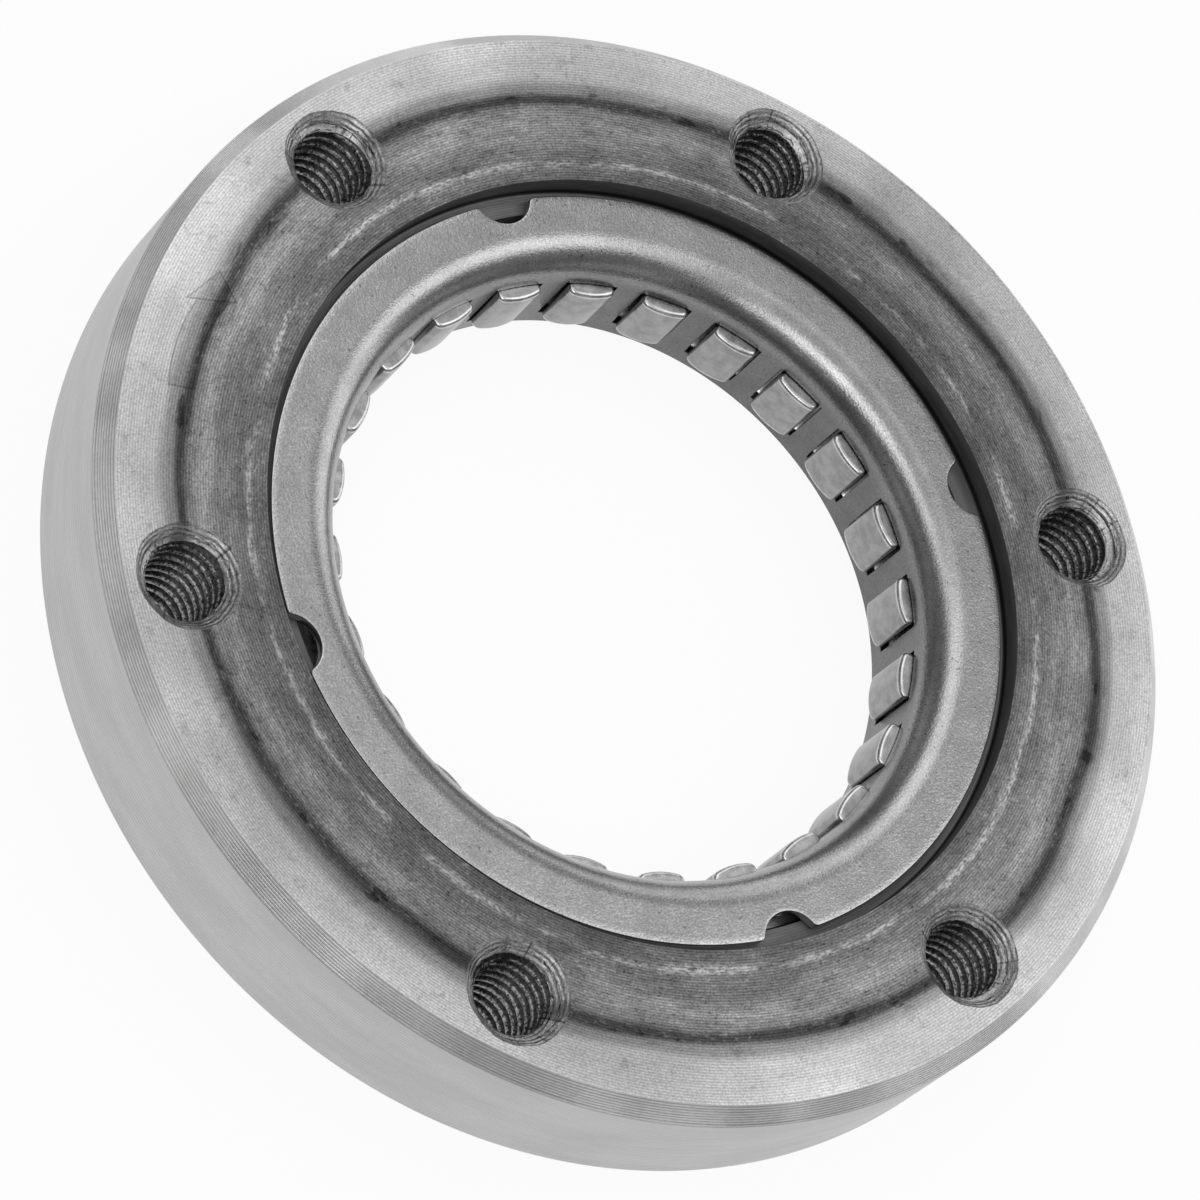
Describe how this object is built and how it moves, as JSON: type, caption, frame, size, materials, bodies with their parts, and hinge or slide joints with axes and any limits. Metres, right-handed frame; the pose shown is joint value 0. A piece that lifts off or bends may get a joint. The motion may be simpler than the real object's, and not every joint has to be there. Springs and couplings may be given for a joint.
{
  "type": "sprag clutch",
  "caption": "One-way sprag clutch: tapped outer race with a flanged sprag cage that grips a shaft one way and runs free the other.",
  "frame": {"origin": "centre of the back face, on the clutch axis", "axes": "+Z along the clutch axis, out of the front face with the cage flange; +X through a bolt hole"},
  "size_m": [0.1, 0.1, 0.014],
  "materials": {
    "race_steel": "turned, with concentric tool marks",
    "cage_steel": "stamped and tumbled, fine matt grain",
    "sprag_steel": "drawn and polished, satin",
    "spring_steel": "bright strip"
  },
  "bodies": {
    "outer_race": {"outer_race": "race_steel"},
    "inner_cage": {"inner_cage": "cage_steel", "ribbon_spring": "spring_steel"},
    "outer_cage": {"outer_cage": "cage_steel"},
    "sprag_01": {"sprag_01": "sprag_steel"},
    "sprag_02": {"sprag_02": "sprag_steel"},
    "sprag_03": {"sprag_03": "sprag_steel"},
    "sprag_04": {"sprag_04": "sprag_steel"},
    "sprag_05": {"sprag_05": "sprag_steel"},
    "sprag_06": {"sprag_06": "sprag_steel"},
    "sprag_07": {"sprag_07": "sprag_steel"},
    "sprag_08": {"sprag_08": "sprag_steel"},
    "sprag_09": {"sprag_09": "sprag_steel"},
    "sprag_10": {"sprag_10": "sprag_steel"},
    "sprag_11": {"sprag_11": "sprag_steel"},
    "sprag_12": {"sprag_12": "sprag_steel"},
    "sprag_13": {"sprag_13": "sprag_steel"},
    "sprag_14": {"sprag_14": "sprag_steel"},
    "sprag_15": {"sprag_15": "sprag_steel"},
    "sprag_16": {"sprag_16": "sprag_steel"},
    "sprag_17": {"sprag_17": "sprag_steel"},
    "sprag_18": {"sprag_18": "sprag_steel"},
    "sprag_19": {"sprag_19": "sprag_steel"},
    "sprag_20": {"sprag_20": "sprag_steel"},
    "sprag_21": {"sprag_21": "sprag_steel"},
    "sprag_22": {"sprag_22": "sprag_steel"},
    "sprag_23": {"sprag_23": "sprag_steel"},
    "sprag_24": {"sprag_24": "sprag_steel"}
  },
  "joints": [
    {"name": "cage_spin", "type": "hinge", "parent": "outer_race", "child": "inner_cage", "pos_m": [0, 0, 0.007], "axis": [0, 0, 1], "continuous": true},
    {"name": "sprag_01_tilt", "type": "hinge", "parent": "inner_cage", "child": "sprag_01", "pos_m": [0.02946, 0.0043, 0.006], "axis": [0, 0, 1], "range_deg": [-3, 4]},
    {"name": "sprag_02_tilt", "type": "hinge", "parent": "inner_cage", "child": "sprag_02", "pos_m": [0.02734, 0.01178, 0.006], "axis": [0, 0, 1], "range_deg": [-3, 4]},
    {"name": "sprag_03_tilt", "type": "hinge", "parent": "inner_cage", "child": "sprag_03", "pos_m": [0.02336, 0.01845, 0.006], "axis": [0, 0, 1], "range_deg": [-3, 4]},
    {"name": "sprag_04_tilt", "type": "hinge", "parent": "inner_cage", "child": "sprag_04", "pos_m": [0.01779, 0.02387, 0.006], "axis": [0, 0, 1], "range_deg": [-3, 4]},
    {"name": "sprag_05_tilt", "type": "hinge", "parent": "inner_cage", "child": "sprag_05", "pos_m": [0.01101, 0.02766, 0.006], "axis": [0, 0, 1], "range_deg": [-3, 4]},
    {"name": "sprag_06_tilt", "type": "hinge", "parent": "inner_cage", "child": "sprag_06", "pos_m": [0.00347, 0.02957, 0.006], "axis": [0, 0, 1], "range_deg": [-3, 4]},
    {"name": "sprag_07_tilt", "type": "hinge", "parent": "inner_cage", "child": "sprag_07", "pos_m": [-0.0043, 0.02946, 0.006], "axis": [0, 0, 1], "range_deg": [-3, 4]},
    {"name": "sprag_08_tilt", "type": "hinge", "parent": "inner_cage", "child": "sprag_08", "pos_m": [-0.01178, 0.02734, 0.006], "axis": [0, 0, 1], "range_deg": [-3, 4]},
    {"name": "sprag_09_tilt", "type": "hinge", "parent": "inner_cage", "child": "sprag_09", "pos_m": [-0.01845, 0.02336, 0.006], "axis": [0, 0, 1], "range_deg": [-3, 4]},
    {"name": "sprag_10_tilt", "type": "hinge", "parent": "inner_cage", "child": "sprag_10", "pos_m": [-0.02387, 0.01779, 0.006], "axis": [0, 0, 1], "range_deg": [-3, 4]},
    {"name": "sprag_11_tilt", "type": "hinge", "parent": "inner_cage", "child": "sprag_11", "pos_m": [-0.02766, 0.01101, 0.006], "axis": [0, 0, 1], "range_deg": [-3, 4]},
    {"name": "sprag_12_tilt", "type": "hinge", "parent": "inner_cage", "child": "sprag_12", "pos_m": [-0.02957, 0.00347, 0.006], "axis": [0, 0, 1], "range_deg": [-3, 4]},
    {"name": "sprag_13_tilt", "type": "hinge", "parent": "inner_cage", "child": "sprag_13", "pos_m": [-0.02946, -0.0043, 0.006], "axis": [0, 0, 1], "range_deg": [-3, 4]},
    {"name": "sprag_14_tilt", "type": "hinge", "parent": "inner_cage", "child": "sprag_14", "pos_m": [-0.02734, -0.01178, 0.006], "axis": [0, 0, 1], "range_deg": [-3, 4]},
    {"name": "sprag_15_tilt", "type": "hinge", "parent": "inner_cage", "child": "sprag_15", "pos_m": [-0.02336, -0.01845, 0.006], "axis": [0, 0, 1], "range_deg": [-3, 4]},
    {"name": "sprag_16_tilt", "type": "hinge", "parent": "inner_cage", "child": "sprag_16", "pos_m": [-0.01779, -0.02387, 0.006], "axis": [0, 0, 1], "range_deg": [-3, 4]},
    {"name": "sprag_17_tilt", "type": "hinge", "parent": "inner_cage", "child": "sprag_17", "pos_m": [-0.01101, -0.02766, 0.006], "axis": [0, 0, 1], "range_deg": [-3, 4]},
    {"name": "sprag_18_tilt", "type": "hinge", "parent": "inner_cage", "child": "sprag_18", "pos_m": [-0.00347, -0.02957, 0.006], "axis": [0, 0, 1], "range_deg": [-3, 4]},
    {"name": "sprag_19_tilt", "type": "hinge", "parent": "inner_cage", "child": "sprag_19", "pos_m": [0.0043, -0.02946, 0.006], "axis": [0, 0, 1], "range_deg": [-3, 4]},
    {"name": "sprag_20_tilt", "type": "hinge", "parent": "inner_cage", "child": "sprag_20", "pos_m": [0.01178, -0.02734, 0.006], "axis": [0, 0, 1], "range_deg": [-3, 4]},
    {"name": "sprag_21_tilt", "type": "hinge", "parent": "inner_cage", "child": "sprag_21", "pos_m": [0.01845, -0.02336, 0.006], "axis": [0, 0, 1], "range_deg": [-3, 4]},
    {"name": "sprag_22_tilt", "type": "hinge", "parent": "inner_cage", "child": "sprag_22", "pos_m": [0.02387, -0.01779, 0.006], "axis": [0, 0, 1], "range_deg": [-3, 4]},
    {"name": "sprag_23_tilt", "type": "hinge", "parent": "inner_cage", "child": "sprag_23", "pos_m": [0.02766, -0.01101, 0.006], "axis": [0, 0, 1], "range_deg": [-3, 4]},
    {"name": "sprag_24_tilt", "type": "hinge", "parent": "inner_cage", "child": "sprag_24", "pos_m": [0.02957, -0.00347, 0.006], "axis": [0, 0, 1], "range_deg": [-3, 4]},
    {"name": "outer_cage_shift", "type": "hinge", "parent": "inner_cage", "child": "outer_cage", "pos_m": [0, 0, 0.006], "axis": [0, 0, 1], "range_deg": [-0.26, 0.34]}
  ],
  "couplings": [
    {"joint": "sprag_02_tilt", "follows": "sprag_01_tilt", "ratio": 1},
    {"joint": "sprag_03_tilt", "follows": "sprag_01_tilt", "ratio": 1},
    {"joint": "sprag_04_tilt", "follows": "sprag_01_tilt", "ratio": 1},
    {"joint": "sprag_05_tilt", "follows": "sprag_01_tilt", "ratio": 1},
    {"joint": "sprag_06_tilt", "follows": "sprag_01_tilt", "ratio": 1},
    {"joint": "sprag_07_tilt", "follows": "sprag_01_tilt", "ratio": 1},
    {"joint": "sprag_08_tilt", "follows": "sprag_01_tilt", "ratio": 1},
    {"joint": "sprag_09_tilt", "follows": "sprag_01_tilt", "ratio": 1},
    {"joint": "sprag_10_tilt", "follows": "sprag_01_tilt", "ratio": 1},
    {"joint": "sprag_11_tilt", "follows": "sprag_01_tilt", "ratio": 1},
    {"joint": "sprag_12_tilt", "follows": "sprag_01_tilt", "ratio": 1},
    {"joint": "sprag_13_tilt", "follows": "sprag_01_tilt", "ratio": 1},
    {"joint": "sprag_14_tilt", "follows": "sprag_01_tilt", "ratio": 1},
    {"joint": "sprag_15_tilt", "follows": "sprag_01_tilt", "ratio": 1},
    {"joint": "sprag_16_tilt", "follows": "sprag_01_tilt", "ratio": 1},
    {"joint": "sprag_17_tilt", "follows": "sprag_01_tilt", "ratio": 1},
    {"joint": "sprag_18_tilt", "follows": "sprag_01_tilt", "ratio": 1},
    {"joint": "sprag_19_tilt", "follows": "sprag_01_tilt", "ratio": 1},
    {"joint": "sprag_20_tilt", "follows": "sprag_01_tilt", "ratio": 1},
    {"joint": "sprag_21_tilt", "follows": "sprag_01_tilt", "ratio": 1},
    {"joint": "sprag_22_tilt", "follows": "sprag_01_tilt", "ratio": 1},
    {"joint": "sprag_23_tilt", "follows": "sprag_01_tilt", "ratio": 1},
    {"joint": "sprag_24_tilt", "follows": "sprag_01_tilt", "ratio": 1},
    {"joint": "outer_cage_shift", "follows": "sprag_01_tilt", "ratio": 0.08259}
  ]
}
